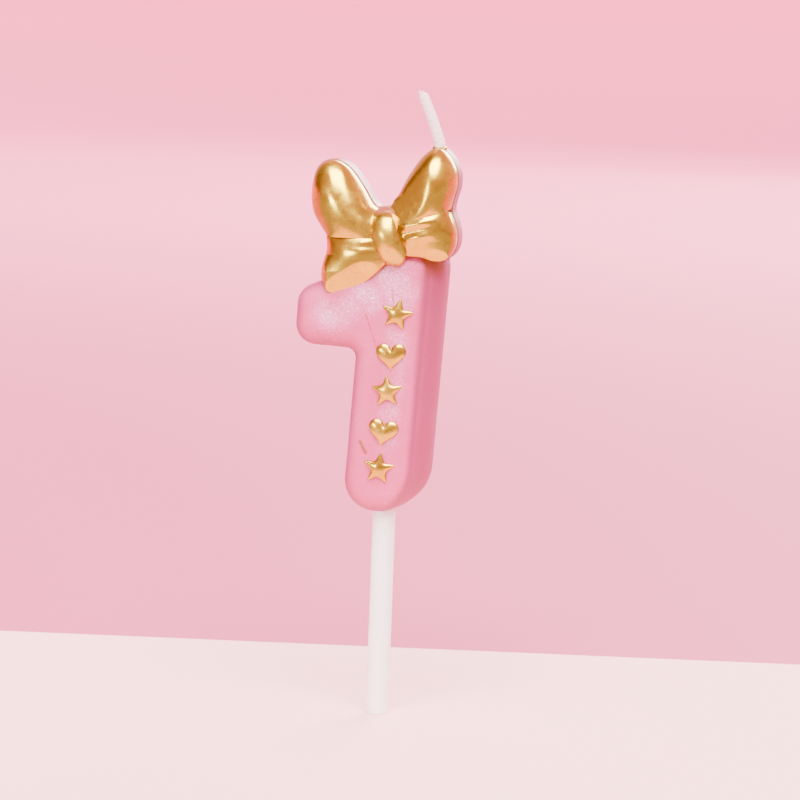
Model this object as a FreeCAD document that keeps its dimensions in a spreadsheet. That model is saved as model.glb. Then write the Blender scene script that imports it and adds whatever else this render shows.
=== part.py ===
"""Number-one birthday candle: a leaning wax numeral with a moulded bow, raised gold charms, a cotton wick
and a white tube stick.

Row frame, in millimetres: the origin is where the stick leaves the wax, +Z runs up the stick and -Y is the
front. The numeral leans towards +X from the stick's axis, and is drawn upright before it is turned.
"""
import FreeCAD, Part
import math
import os

from FreeCAD import Placement, Rotation, Vector

OUT = "parts"
AXIS_Y = Vector(0, 1, 0)

# -------------------------------------------------------------------------------- driving dimensions
SIZES = {
    # the tube stick, and the socket that it is pushed into
    "stick_diameter": 4.4,
    "stick_wall": 0.8,
    "stick_exposed": 40.0,
    "stick_inserted": 18.0,
    "stick_edge": 0.15,
    "stick_shaved": 0.2,
    "socket_clearance": 0.03,
    "socket_end_gap": 0.05,
    "socket_lead": 10.0,
    # the numeral, upright: a stem on the stick's axis and an arm towards -X under a sloping roof
    "lean": 3.1,
    "stem_left": 7.85,
    "stem_right": 8.05,
    "arm_reach": 20.0,
    "arm_underside": 31.1,
    "arm_corner": 4.1,
    "armpit": 1.8,
    "roof_eave": 41.5,
    "roof_ridge": 55.0,
    "roof_corner": 4.5,
    "foot_level": 0.15,
    "foot_left": 6.0,
    "foot_right": 9.2,
    "back_depth": 4.6,
    "face_depth": 5.4,
    "shoulder": 3.6,
    "back_edge": 0.4,
    # the bow: a wax backing with gold fronts, each with its own depth and round
    "core_depth": 1.2,
    "loop_depth": 7.6,
    "loop_round": 1.8,
    "tail_depth": 7.6,
    "tail_round": 1.8,
    "knot_depth": 8.8,
    "knot_round": 1.0,
    "bow_room": 12.0,
    # the wick: one straight run in the wax, one bent run above it
    "wick_diameter": 1.9,
    "wick_foot_x": 1.8,
    "wick_foot_z": 24.0,
    "wick_exit_x": 8.25,
    "wick_exit_z": 70.25,
    "pivot_x": 8.3,
    "pivot_z": 71.3,
    "wick_exposed": 10.0,
    "wick_bend": 22.5,
    "collar_diameter": 3.6,
    "collar_bottom": 69.3,
    "collar_top": 70.45,
    "collar_bore": 2.1,
    # the raised charms down the stem
    "charm_relief": 0.9,
    "charm_sink": 0.6,
    "charm_round": 0.4,
    "star_radius": 3.3,
    "star_notch": 1.55,
    "heart_lobe": 1.55,
    "heart_drop": 3.4,
}

doc = FreeCAD.newDocument("number_candle")
sheet = doc.addObject("Spreadsheet::Sheet", "sizes")
for row, (alias, value) in enumerate(SIZES.items(), start=1):
    sheet.set(f"A{row}", alias)
    sheet.set(f"B{row}", str(value))
    sheet.setAlias(f"B{row}", alias)
doc.recompute()


def size(alias):
    """The value of a driving dimension, read from the sheet."""
    return float(sheet.get(alias))


# ------------------------------------------------------------------------------------- small helpers
def new_body(name):
    body = doc.addObject("PartDesign::Body", name)
    body.Label = name
    return body


def sketch_in(body, name, role, offset):
    """A sketch parallel to one of a body's own origin planes, `offset` (a formula) along its normal."""
    sketch = body.newObject("Sketcher::SketchObject", name)
    plane = next(f for f in body.Origin.OriginFeatures if f.Role == role)
    sketch.AttachmentSupport = [(plane, "")]
    sketch.MapMode = "FlatFace"
    sketch.setExpression("AttachmentOffset.Base.z", offset)
    return sketch


def closed_polyline(sketch, points):
    for start, end in zip(points, points[1:] + points[:1]):
        sketch.addGeometry(Part.LineSegment(start, end), False)


def pad(body, sketch, name, length):
    feature = body.newObject("PartDesign::Pad", name)
    feature.Profile = sketch
    feature.setExpression("Length", length)
    doc.recompute()
    return feature


def round_edges(body, base, name, radius, on_edge):
    """A PartDesign fillet on the edges of `base` that `on_edge` accepts."""
    names = [f"Edge{i}" for i, edge in enumerate(base.Shape.Edges, start=1) if on_edge(edge)]
    fillet = body.newObject("PartDesign::Fillet", name)
    fillet.Base = (base, names)
    fillet.setExpression("Radius", radius)
    doc.recompute()
    return fillet


def in_front(depth):
    """Accepts the edges that lie in the plane `depth` mm in front of the stick's axis."""
    return lambda edge: all(abs(v.Y + depth) < 1e-3 for v in edge.Vertexes) and (
        abs(edge.valueAt(sum(edge.ParameterRange) / 2).y + depth) < 1e-3
    )


def is_closed(edge):
    return len(edge.Vertexes) == 1


def boolean(kind, name, base, tool):
    """A Part::Cut, Part::Fuse or Part::Common of two objects."""
    result = doc.addObject(f"Part::{kind}", name)
    result.Base = base
    result.Tool = tool
    result.Label = name
    doc.recompute()
    return result


def cut_all(name, base, tools):
    """`base` with each tool cut from it in turn; the last cut carries the name."""
    for tool in tools[:-1]:
        base = boolean("Cut", f"{name}_less_{tool.Name}", base, tool)
    return boolean("Cut", name, base, tools[-1])


def cylinder(name, radius, height, x="0", z="0", tilt="0"):
    """A round bar that starts at (x, 0, z), its axis turned by `tilt` degrees from +Z towards +X."""
    bar = doc.addObject("Part::Cylinder", name)
    bar.Label = name
    bar.Placement = Placement(Vector(), Rotation(AXIS_Y, 1))
    bar.setExpression("Radius", radius)
    bar.setExpression("Height", height)
    bar.setExpression("Placement.Base.x", x)
    bar.setExpression("Placement.Base.z", z)
    bar.setExpression("Placement.Rotation.Angle", tilt)
    doc.recompute()
    return bar


# ----------------------------------------------------------------------------------------- the stick
def build_stick():
    """A straight plastic tube, cut square; the end that the wax grips is shaved a little thinner."""
    body = new_body("stick")
    radius = size("stick_diameter") / 2
    bore = radius - size("stick_wall")
    runs = [
        ("stick_bare", radius, "-sizes.stick_exposed", "sizes.stick_exposed"),
        ("stick_gripped", radius - size("stick_shaved"), "0", "sizes.stick_inserted"),
    ]
    for name, outside, start, length in runs:
        sketch = sketch_in(body, f"{name}_section", "XY_Plane", start)
        for reach in (outside, bore):
            sketch.addGeometry(Part.Circle(Vector(), Vector(0, 0, 1), reach), False)
        tube = pad(body, sketch, name, length)
    ends = (-size("stick_exposed"), size("stick_inserted"))
    at_height = lambda edge, z: abs(edge.BoundBox.Center.z - z) < 1e-6
    at_an_end = lambda edge: is_closed(edge) and any(at_height(edge, z) for z in ends)
    round_edges(body, tube, "stick_ends", "sizes.stick_edge", at_an_end)
    return body


# --------------------------------------------------------------------------------------- the numeral
def rounded_corner(point, before, after, radius):
    """The arc that rounds the corner at `point`, with its two tangent points."""
    to_before = (before - point).normalize()
    to_after = (after - point).normalize()
    half = to_before.getAngle(to_after) / 2
    start = point + to_before * (radius / math.tan(half))
    end = point + to_after * (radius / math.tan(half))
    centre = point + (to_before + to_after).normalize() * (radius / math.sin(half))
    middle = centre + (point - centre).normalize() * radius
    return start, Part.Arc(start, middle, end), end


def numeral_outline(sketch):
    """The figure one: a stem with a round foot, and an arm that ends in the eave of a sloping roof."""
    left, right = -size("stem_left"), size("stem_right")
    reach, under = -size("arm_reach"), size("arm_underside")
    foot = size("foot_level")
    corners = [
        (right, foot, "foot_right"),
        (right, size("roof_ridge"), "roof_corner"),
        (reach, size("roof_eave"), "arm_corner"),
        (reach, under, "arm_corner"),
        (left, under, "armpit"),
        (left, foot, "foot_left"),
    ]
    points = [Vector(x, z, 0) for x, z, _ in corners]
    count = len(points)
    arcs = [
        rounded_corner(points[i], points[i - 1], points[(i + 1) % count], size(corners[i][2]))
        for i in range(count)
    ]
    for i in range(count):
        sketch.addGeometry(arcs[i][1], False)
        sketch.addGeometry(Part.LineSegment(arcs[i][2], arcs[(i + 1) % count][0]), False)


def build_numeral():
    body = new_body("numeral_solid")
    sketch = sketch_in(body, "numeral_section", "XZ_Plane", "-sizes.back_depth")
    numeral_outline(sketch)
    block = pad(body, sketch, "numeral_block", "sizes.back_depth + sizes.face_depth")
    front = round_edges(body, block, "front_shoulder", "sizes.shoulder", in_front(size("face_depth")))
    round_edges(body, front, "back_rim", "sizes.back_edge", in_front(-size("back_depth")))
    body.Placement = Placement(Vector(), Rotation(AXIS_Y, 1))
    body.setExpression("Placement.Rotation.Angle", "sizes.lean")
    doc.recompute()
    return body


# ------------------------------------------------------------------------------------------- the bow
# The free edges of the bow, as (x, z) points of smooth curves. A loop's edge ends where its tail's begins.
LEFT_LOOP_EDGE = [
    (-1.3, 57.9), (-3.9, 59.3), (-5.9, 62.5), (-8.7, 66.0), (-12.0, 67.4), (-14.8, 65.8), (-15.8, 61.7),
    (-15.5, 57.4), (-13.9, 54.9), (-12.5, 52.7),
]
LEFT_TAIL_EDGE = [
    (-12.5, 52.7), (-12.4, 50.0), (-13.1, 46.6), (-12.7, 44.4), (-10.7, 42.8), (-8.3, 42.9), (-4.5, 44.8),
    (0.2, 48.4),
]
RIGHT_LOOP_EDGE = [
    (-0.5, 57.4), (0.6, 60.3), (2.3, 64.1), (4.5, 67.7), (6.6, 69.6), (8.5, 70.1), (10.6, 69.0),
    (12.1, 66.3), (12.3, 63.4), (11.5, 60.6), (11.3, 58.6),
]
RIGHT_TAIL_EDGE = [
    (11.3, 58.6), (12.2, 56.4), (12.8, 53.8), (12.3, 51.3), (10.8, 49.5), (8.6, 49.2), (6.0, 49.8),
    (1.8, 50.0),
]
KNOT_EDGE = [
    (-3.1, 57.9), (-0.9, 58.3), (1.2, 57.7), (2.8, 54.2), (3.8, 50.4), (2.7, 48.2), (-0.6, 48.0),
    (-2.8, 51.4), (-3.8, 54.6),
]
# The creases between a loop and its tail run to these points, which lie under the knot.
LEFT_CREASE_END = (-1.4, 52.9)
RIGHT_CREASE_END = (1.6, 55.9)


def bow_block(name, edges, creases, back, length):
    """A plain block with a bow piece's outline: smooth edges, then straight creases back to the start."""
    body = new_body(name)
    sketch = sketch_in(body, f"{name}_section", "XZ_Plane", back)
    for edge in edges:
        curve = Part.BSplineCurve()
        curve.interpolate([Vector(x, z, 0) for x, z in edge], PeriodicFlag=not creases)
        sketch.addGeometry(curve, False)
    corners = [edges[-1][-1], *creases, edges[0][0]] if creases else []
    for (x0, z0), (x1, z1) in zip(corners, corners[1:]):
        sketch.addGeometry(Part.LineSegment(Vector(x0, z0, 0), Vector(x1, z1, 0)), False)
    return body, pad(body, sketch, f"{name}_block", length)


def gold_front(name, edge, creases, kind):
    """A puffed gold front: as deep as its middle, with a large round all the way about."""
    back = "-sizes.back_depth" if kind == "knot" else "sizes.core_depth"
    body, block = bow_block(name, [edge], creases, back, f"sizes.{kind}_depth - ({back})")
    round_edges(body, block, f"{name}_round", f"sizes.{kind}_round", in_front(size(f"{kind}_depth")))
    return body


def build_bow():
    """The bow's pieces by node name, and the blocks that clear their place in the numeral."""
    left = [LEFT_LOOP_EDGE, LEFT_TAIL_EDGE]
    right = [RIGHT_LOOP_EDGE, RIGHT_TAIL_EDGE]
    through = "sizes.back_depth + sizes.bow_room"
    knot_room, _ = bow_block("knot_room", [KNOT_EDGE], [], "-sizes.back_depth", through)
    left_room, _ = bow_block("left_room", left, [LEFT_CREASE_END], "-sizes.back_depth", through)
    right_room, _ = bow_block("right_room", right, [RIGHT_CREASE_END], "-sizes.back_depth", through)
    slab = "sizes.back_depth + sizes.core_depth"
    sides = {
        "bow_left_back": bow_block("left_slab", left, [LEFT_CREASE_END], "-sizes.back_depth", slab)[0],
        "bow_right_back": bow_block("right_slab", right, [RIGHT_CREASE_END], "-sizes.back_depth", slab)[0],
        "bow_left_loop": gold_front("left_loop_front", LEFT_LOOP_EDGE, [LEFT_CREASE_END], "loop"),
        "bow_left_tail": gold_front("left_tail_front", LEFT_TAIL_EDGE, [LEFT_CREASE_END], "tail"),
        "bow_right_loop": gold_front("right_loop_front", RIGHT_LOOP_EDGE, [RIGHT_CREASE_END], "loop"),
        "bow_right_tail": gold_front("right_tail_front", RIGHT_TAIL_EDGE, [RIGHT_CREASE_END], "tail"),
    }
    pieces = {name: boolean("Cut", f"{name}_beside_knot", side, knot_room) for name, side in sides.items()}
    pieces["bow_knot"] = gold_front("knot_front", KNOT_EDGE, [], "knot")
    return pieces, [knot_room, left_room, right_room]


# ---------------------------------------------------------------------------------------- the charms
# Kind, place across the stem and height up it, in the upright numeral, and turn in its face, in degrees.
CHARMS = [
    ("charm_star_top", "star", -0.2, 38.7, 8),
    ("charm_heart_upper", "heart", -0.5, 31.0, -4),
    ("charm_star_middle", "star", -0.6, 23.7, -6),
    ("charm_heart_lower", "heart", -0.9, 16.2, 5),
    ("charm_star_bottom", "star", -1.0, 8.8, 3),
]


def star_outline(sketch):
    outer, inner = size("star_radius"), size("star_notch")
    points = []
    for i in range(10):
        angle = math.radians(90 + 36 * i)
        reach = outer if i % 2 == 0 else inner
        points.append(Vector(reach * math.cos(angle), reach * math.sin(angle), 0))
    closed_polyline(sketch, points)


def heart_outline(sketch):
    """Two round lobes side by side, and two straight sides that leave them tangentially for the point."""
    lobe, drop = size("heart_lobe"), size("heart_drop")
    centre = Vector(lobe * 0.92, 0.9, 0)
    tip = Vector(0, -drop, 0)
    reach = tip - centre
    notch = Vector(0, centre.y + math.sqrt(lobe ** 2 - centre.x ** 2), 0)
    angle = math.atan2(reach.y, reach.x) + math.acos(lobe / reach.Length)
    side = centre + Vector(math.cos(angle), math.sin(angle), 0) * lobe
    top = centre + Vector(math.cos(math.radians(60)), math.sin(math.radians(60)), 0) * lobe
    other_side = Vector(-side.x, side.y, 0)
    other_top = Vector(-top.x, top.y, 0)
    sketch.addGeometry(Part.Arc(side, top, notch), False)
    sketch.addGeometry(Part.Arc(notch, other_top, other_side), False)
    sketch.addGeometry(Part.LineSegment(other_side, tip), False)
    sketch.addGeometry(Part.LineSegment(tip, side), False)


def build_charm(name, kind, across, height, turn):
    """A raised charm, sunk a little into the numeral's face."""
    body = new_body(name)
    sketch = sketch_in(body, f"{name}_section", "XZ_Plane", "sizes.face_depth - sizes.charm_sink")
    outline = star_outline if kind == "star" else heart_outline
    outline(sketch)
    plate = pad(body, sketch, f"{name}_plate", "sizes.charm_sink + sizes.charm_relief")
    front = size("face_depth") + size("charm_relief")
    round_edges(body, plate, f"{name}_round", "sizes.charm_round", in_front(front))
    place = Rotation(AXIS_Y, size("lean")).multVec(Vector(across, 0, height))
    body.Placement = Placement(place, Rotation(AXIS_Y, size("lean") + turn))
    doc.recompute()
    return body


# ------------------------------------------------------------------------------------------ the wick
def build_wick():
    """The wick inside the wax, the bent run above it, and the ring of gold paint where it comes out."""
    rise = "(sizes.wick_exit_z - sizes.wick_foot_z)"
    run = "(sizes.wick_exit_x - sizes.wick_foot_x)"
    root = cylinder(
        "wick_root", "sizes.wick_diameter / 2", f"sqrt({rise} ^ 2 + {run} ^ 2)",
        "sizes.wick_foot_x", "sizes.wick_foot_z", f"atan({run} / {rise})",
    )
    strand = cylinder(
        "wick_strand", "sizes.wick_diameter / 2", "sizes.wick_exposed", "sizes.pivot_x", "sizes.pivot_z",
        "-sizes.wick_bend",
    )
    ball = doc.addObject("Part::Sphere", "wick_ball")
    ball.setExpression("Radius", "sizes.wick_diameter / 2")
    ball.setExpression("Placement.Base.x", "sizes.pivot_x")
    ball.setExpression("Placement.Base.z", "sizes.pivot_z")
    doc.recompute()
    tip = boolean("Fuse", "wick_tip", strand, ball)
    height = "sizes.collar_top - sizes.collar_bottom"
    place = ("sizes.wick_exit_x", "sizes.collar_bottom")
    disc = cylinder("collar_disc", "sizes.collar_diameter / 2", height, *place)
    hole = cylinder("collar_hole", "sizes.collar_bore / 2", height, *place)
    return root, tip, boolean("Cut", "collar_ring", disc, hole)


# -------------------------------------------------------------------------------------- the assembly
def build_wax(rooms, charms, root):
    """The numeral's casting, with the stick's socket and a seat for everything that it carries."""
    socket = cylinder(
        "stick_socket", "sizes.stick_diameter / 2 - sizes.stick_shaved + sizes.socket_clearance",
        "sizes.socket_lead + sizes.stick_inserted + sizes.socket_end_gap", "0", "-sizes.socket_lead",
    )
    return cut_all("numeral", build_numeral(), [*rooms, socket, root, *charms])


def build_candle():
    stick = build_stick()
    bow, rooms = build_bow()
    charms = {spec[0]: build_charm(*spec) for spec in CHARMS}
    root, tip, collar = build_wick()
    wax = build_wax(rooms, list(charms.values()), root)
    bow["bow_right_back"] = cut_all("right_back_bored", bow["bow_right_back"], [root])
    collar = cut_all("wick_collar", collar, [bow["bow_right_back"], bow["bow_right_loop"], root])
    return {
        "stick": stick, "numeral": wax, **bow, **charms,
        "wick_root": root, "wick_tip": tip, "wick_collar": collar,
    }


def export(nodes):
    """Checks every object of the document, then writes one STEP file for each node."""
    for item in doc.Objects:
        if "Invalid" in item.State or "Error" in item.State:
            raise RuntimeError(f"{item.Name} did not build: {item.State}")
    os.makedirs(OUT, exist_ok=True)
    for name, item in nodes.items():
        shape = item.Shape
        if shape.isNull() or not shape.isValid() or len(shape.Solids) != 1:
            raise RuntimeError(f"{name} is not one sound solid")
        item.Label = name
        shape.exportStep(f"{OUT}/{name}.step")
        print(f"{name:20s} {shape.Volume:9.1f} mm3  {shape.BoundBox.DiagonalLength:7.1f} mm")


export(build_candle())
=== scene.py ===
import math

import bpy
import numpy as np
from mathutils import Matrix, Vector


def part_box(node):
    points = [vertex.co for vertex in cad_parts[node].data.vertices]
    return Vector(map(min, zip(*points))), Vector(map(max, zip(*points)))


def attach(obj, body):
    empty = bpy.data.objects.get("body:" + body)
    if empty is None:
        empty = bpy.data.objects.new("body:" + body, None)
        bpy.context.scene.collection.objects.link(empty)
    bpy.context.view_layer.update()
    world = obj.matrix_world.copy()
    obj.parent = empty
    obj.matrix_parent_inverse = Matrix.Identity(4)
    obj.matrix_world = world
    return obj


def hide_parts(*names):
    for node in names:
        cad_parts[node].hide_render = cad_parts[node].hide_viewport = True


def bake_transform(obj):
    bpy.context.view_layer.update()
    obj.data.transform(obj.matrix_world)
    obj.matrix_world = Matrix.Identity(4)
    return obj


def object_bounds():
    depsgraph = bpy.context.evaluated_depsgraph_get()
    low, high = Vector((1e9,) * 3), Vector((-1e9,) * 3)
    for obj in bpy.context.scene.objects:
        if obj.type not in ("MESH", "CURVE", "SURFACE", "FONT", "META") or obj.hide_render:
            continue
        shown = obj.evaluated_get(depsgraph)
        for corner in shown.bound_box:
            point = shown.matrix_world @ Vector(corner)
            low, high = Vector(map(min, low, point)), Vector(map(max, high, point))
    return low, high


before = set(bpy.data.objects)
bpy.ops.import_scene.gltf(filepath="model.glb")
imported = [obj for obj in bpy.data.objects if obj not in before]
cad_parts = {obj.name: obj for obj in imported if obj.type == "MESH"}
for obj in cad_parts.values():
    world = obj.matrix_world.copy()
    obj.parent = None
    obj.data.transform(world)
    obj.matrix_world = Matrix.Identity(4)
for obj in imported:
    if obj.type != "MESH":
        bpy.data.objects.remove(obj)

cad_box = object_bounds()

MM = 0.001
LEAN = math.radians(3.1)

CARD_TURN = 8.0  # degrees that the card on the floor is turned from the candle
CARD_BACK = 56.0  # mm from the stick to the card's back edge, where the pink sheet starts
CARD_FRONT = 130.0  # mm from the stick to where the card starts to give way to the table, in front
CARD_SIDE = 90.0  # the same, to either side
CARD_FADE = 1.7  # how many times further out the card has gone
WHITE_CARD = (0.93, 0.47, 0.49)
# The pink sheet grows lighter from PINK_NEAR to the far colour with distance: painted light that makes up for
# the lamps' falloff.
PINK_NEAR = (0.49, 0.076, 0.165)
PINK_FAR_PAINTED_LIGHTER = (0.80, 0.155, 0.305)
TABLE = (0.20, 0.15, 0.15)
PINK_ROOM = (2.4, 0.90, 1.1)
ROOM = [  # degrees round from the front towards +X, and the colour of the room there
    (-180, PINK_ROOM), (-135, PINK_ROOM), (-105, (0.35, 0.19, 0.17)), (-82, (0.60, 0.31, 0.30)),
    (-60, (1.4, 0.68, 0.70)), (-10, (1.5, 0.80, 0.72)), (30, (1.7, 0.90, 0.82)), (75, (1.5, 0.75, 0.75)),
    (120, PINK_ROOM),
]


# ------------------------------------------------------------------------ mesh helpers
def make_piece(name, vertices, faces, material):
    """A smooth-shaded mesh object from points in millimetres."""
    mesh = bpy.data.meshes.new(name)
    mesh.from_pydata((np.asarray(vertices, float) * MM).tolist(), [], [list(map(int, f)) for f in faces])
    mesh.validate()
    mesh.update()
    mesh.polygons.foreach_set("use_smooth", [True] * len(mesh.polygons))
    piece = bpy.data.objects.new(name, mesh)
    bpy.context.scene.collection.objects.link(piece)
    mesh.materials.append(material)
    return piece


def surface_nets(field, low, step):
    """Quads round the zero surface of a sampled field, negative inside: a vertex in each cell it crosses."""
    inside = field < 0
    shape = np.array(field.shape) - 1
    corners = [(i, j, k) for i in (0, 1) for j in (0, 1) for k in (0, 1)]
    window = lambda a, c: a[c[0]:c[0] + shape[0], c[1]:c[1] + shape[1], c[2]:c[2] + shape[2]]
    count = sum(window(inside, c).astype(int) for c in corners)
    active = (count > 0) & (count < 8)
    index = -np.ones(shape, int)
    index[active] = np.arange(active.sum())
    cells = np.argwhere(active)
    total = np.zeros((len(cells), 3))
    hits = np.zeros(len(cells))
    for a in corners:
        for axis in range(3):
            if a[axis]:
                continue
            b = tuple(1 if n == axis else v for n, v in enumerate(a))
            fa = window(field, a)[active]
            fb = window(field, b)[active]
            crossed = (fa < 0) != (fb < 0)
            t = np.where(crossed, fa / np.where(crossed, fa - fb, 1), 0)
            point = np.repeat(np.array([a], float), len(cells), axis=0)
            point[:, axis] += t
            total += point * crossed[:, None]
            hits += crossed
    vertices = low + (cells + total / hits[:, None]) * step
    faces = []
    for axis in range(3):
        u, v = [n for n in range(3) if n != axis]
        ahead = np.roll(inside, -1, axis)
        change = inside != ahead
        spots = np.argwhere(change)
        keep = (spots[:, u] > 0) & (spots[:, v] > 0) & (spots[:, axis] < shape[axis])
        spots = spots[keep & (spots[:, u] < shape[u]) & (spots[:, v] < shape[v])]
        ring = []
        for du, dv in ((-1, -1), (0, -1), (0, 0), (-1, 0)):
            cell = spots.copy()
            cell[:, u] += du
            cell[:, v] += dv
            ring.append(index[tuple(cell.T)])
        quads = np.stack(ring, axis=1)
        outward = inside[tuple(spots.T)]
        if axis == 1:
            outward = ~outward
        quads[~outward] = quads[~outward][:, ::-1]
        faces.append(quads)
    return vertices, np.concatenate(faces)


def settle(vertices, distance, rounds=4, reach=0.01):
    """Moves points onto the zero surface of a distance function, along its slope."""
    points = vertices.copy()
    for _ in range(rounds):
        value = distance(points)
        slope = np.zeros_like(points)
        for axis in range(3):
            shift = np.zeros(3)
            shift[axis] = reach
            slope[:, axis] = (distance(points + shift) - distance(points - shift)) / (2 * reach)
        size = np.maximum((slope ** 2).sum(axis=1), 0.05)
        points -= np.clip(value / size, -0.3, 0.3)[:, None] * slope
    return points


def solid_from(distance, low, high, step):
    """A closed mesh of the zero surface of `distance` inside a box, in millimetres."""
    low = np.array(low, float)
    high = np.array(high, float)
    counts = np.ceil((high - low) / step).astype(int) + 1
    axes = [low[n] + np.arange(counts[n]) * step for n in range(3)]
    grid = np.stack(np.meshgrid(*axes, indexing="ij"), axis=-1).reshape(-1, 3)
    field = distance(grid).reshape(tuple(counts))
    vertices, faces = surface_nets(field, low, step)
    return settle(vertices, distance), faces


# ------------------------------------------------------------------------ flat outlines
def cubic(values, t):
    """The smooth curve through four even values, read `t` of the way from the second to the third."""
    a, b, c, d = values
    squared = (2 * a - 5 * b + 4 * c - d) * t ** 2
    cubed = (3 * b - 3 * c + d - a) * t ** 3
    return 0.5 * (2 * b + (c - a) * t + squared + cubed)


def free_curve(points, per_span=14):
    """A smooth open curve through a few points."""
    p = np.array(points, float)
    p = np.vstack([2 * p[0] - p[1], p, 2 * p[-1] - p[-2]])
    t = np.linspace(0, 1, per_span, endpoint=False)[:, None]
    out = []
    for a, b, c, d in zip(p, p[1:], p[2:], p[3:]):
        out.append(cubic((a, b, c, d), t))
    return np.vstack(out + [p[-2:-1]])


def even_loop(points, count, softness=0):
    """A closed outline walked in even steps, its corners softened by averaging neighbours."""
    p = np.vstack([points, points[:1]])
    run = np.concatenate([[0], np.cumsum(np.hypot(*np.diff(p, axis=0).T))])
    at = np.linspace(0, run[-1], count, endpoint=False)
    loop = np.stack([np.interp(at, run, p[:, n]) for n in (0, 1)], axis=1)
    for _ in range(softness):
        loop = 0.5 * loop + 0.25 * (np.roll(loop, 1, axis=0) + np.roll(loop, -1, axis=0))
    area = 0.5 * np.sum(loop[:, 0] * np.roll(loop[:, 1], -1) - loop[:, 1] * np.roll(loop[:, 0], -1))
    return loop if area > 0 else loop[::-1]


def rounded_polygon(corners, steps=12):
    """A closed outline from (x, z, radius) corners."""
    out = []
    count = len(corners)
    for i, (x, z, radius) in enumerate(corners):
        point = np.array([x, z], float)
        before = np.array(corners[i - 1][:2], float) - point
        after = np.array(corners[(i + 1) % count][:2], float) - point
        before /= np.hypot(*before)
        after /= np.hypot(*after)
        half = math.acos(np.clip(before @ after, -1, 1)) / 2
        centre = point + (before + after) / np.hypot(*(before + after)) * radius / math.sin(half)
        first = point + before * radius / math.tan(half) - centre
        last = point + after * radius / math.tan(half) - centre
        sweep = math.atan2(first[0] * last[1] - first[1] * last[0], first @ last)
        for angle in np.linspace(0, sweep, steps):
            turn = np.array([[math.cos(angle), -math.sin(angle)], [math.sin(angle), math.cos(angle)]])
            out.append(centre + turn @ first)
    return np.array(out)


class Flat:
    """The signed distance to a closed outline, kept on a lattice and read back smoothly."""

    def __init__(self, outline, pitch=0.25, margin=4.0):
        self.pitch = pitch
        self.low = outline.min(axis=0) - margin
        counts = np.ceil((outline.max(axis=0) + margin - self.low) / pitch).astype(int) + 1
        xs = self.low[0] + np.arange(counts[0]) * pitch
        zs = self.low[1] + np.arange(counts[1]) * pitch
        gx, gz = np.meshgrid(xs, zs, indexing="ij")
        nearest = np.full(gx.shape, 1e9)
        inside = np.zeros(gx.shape, bool)
        for (ax, az), (bx, bz) in zip(outline, np.roll(outline, -1, axis=0)):
            dx, dz = bx - ax, bz - az
            t = np.clip(((gx - ax) * dx + (gz - az) * dz) / (dx * dx + dz * dz + 1e-12), 0, 1)
            nearest = np.minimum(nearest, (gx - ax - t * dx) ** 2 + (gz - az - t * dz) ** 2)
            if az != bz:
                inside ^= ((az > gz) != (bz > gz)) & (gx < ax + (gz - az) * dx / dz)
        distance = np.sqrt(nearest)
        self.table = np.where(inside, -distance, distance)

    def __call__(self, x, z):
        u = np.clip((x - self.low[0]) / self.pitch, 1, self.table.shape[0] - 2.001)
        v = np.clip((z - self.low[1]) / self.pitch, 1, self.table.shape[1] - 2.001)
        i, j = np.floor(u).astype(int), np.floor(v).astype(int)
        f, g = u - i, v - j
        rows = []
        for a in (-1, 0, 1, 2):
            column = np.clip(i + a, 0, None)
            rows.append(cubic([self.table[column, j + b] for b in (-1, 0, 1, 2)], g))
        return cubic(rows, f)


def slab(flat, y, front, back, round_in, round_deep, round_back):
    """Distance to a flat shape made solid from y = -front to y = back, with its two edges rounded."""
    a = (flat + round_in) / round_in
    b = (-y - front + round_deep) / round_deep
    face = (np.minimum(np.maximum(a, b), 0) + np.hypot(np.maximum(a, 0), np.maximum(b, 0)) - 1) * round_deep
    a = flat + round_back
    b = y - back + round_back
    rear = np.minimum(np.maximum(a, b), 0) + np.hypot(np.maximum(a, 0), np.maximum(b, 0)) - round_back
    return smooth_max(face, rear, 0.15)


def smooth_min(a, b, reach):
    """The lesser of two values, blended where they are within `reach` of each other."""
    h = np.clip(0.5 + 0.5 * (b - a) / reach, 0, 1)
    return b + (a - b) * h - reach * h * (1 - h)


def smooth_max(a, b, reach):
    return -smooth_min(-a, -b, reach)


def upright(x, z):
    """Row-frame places as places in the numeral before it leans."""
    return x * math.cos(LEAN) - z * math.sin(LEAN), x * math.sin(LEAN) + z * math.cos(LEAN)


def ripple(x, y, z, size):
    """A soft, irregular wobble between about -1 and 1, with features `size` mm across."""
    k = 2 * math.pi / size
    a = np.sin(k * (0.80 * x + 0.31 * y + 0.52 * z) + 1.3)
    b = np.sin(k * (-0.45 * x + 0.62 * y + 0.71 * z) * 1.27 + 4.1)
    c = np.sin(k * (0.36 * x - 0.78 * y + 0.51 * z) * 1.71 + 2.2)
    return (a + b + c) / 3


# ------------------------------------------------------------------------ the bow's outlines
# Free edges in the row frame, in millimetres, as (x, z). A tail's edge starts where its loop's edge ends.
LEFT_LOOP_EDGE = [
    (-2.0, 57.9), (-3.9, 59.3), (-5.9, 62.5), (-8.7, 66.0), (-12.0, 67.4), (-14.8, 65.8), (-15.8, 61.7),
    (-15.4, 57.6), (-13.9, 54.9), (-12.5, 52.9),
]
LEFT_TAIL_EDGE = [
    (-12.5, 52.9), (-12.4, 50.1), (-13.3, 46.7), (-13.2, 44.6), (-12.2, 43.0), (-10.5, 42.2), (-8.4, 42.6),
    (-4.4, 44.7), (-1.0, 47.4), (0.6, 48.8),
]
RIGHT_LOOP_EDGE = [
    (-0.8, 57.4), (0.6, 60.3), (2.3, 64.0), (4.5, 67.6), (6.6, 69.8), (8.5, 70.4), (10.5, 69.1), (12.0, 66.3),
    (12.2, 63.5), (11.5, 60.8), (11.1, 58.7),
]
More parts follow.
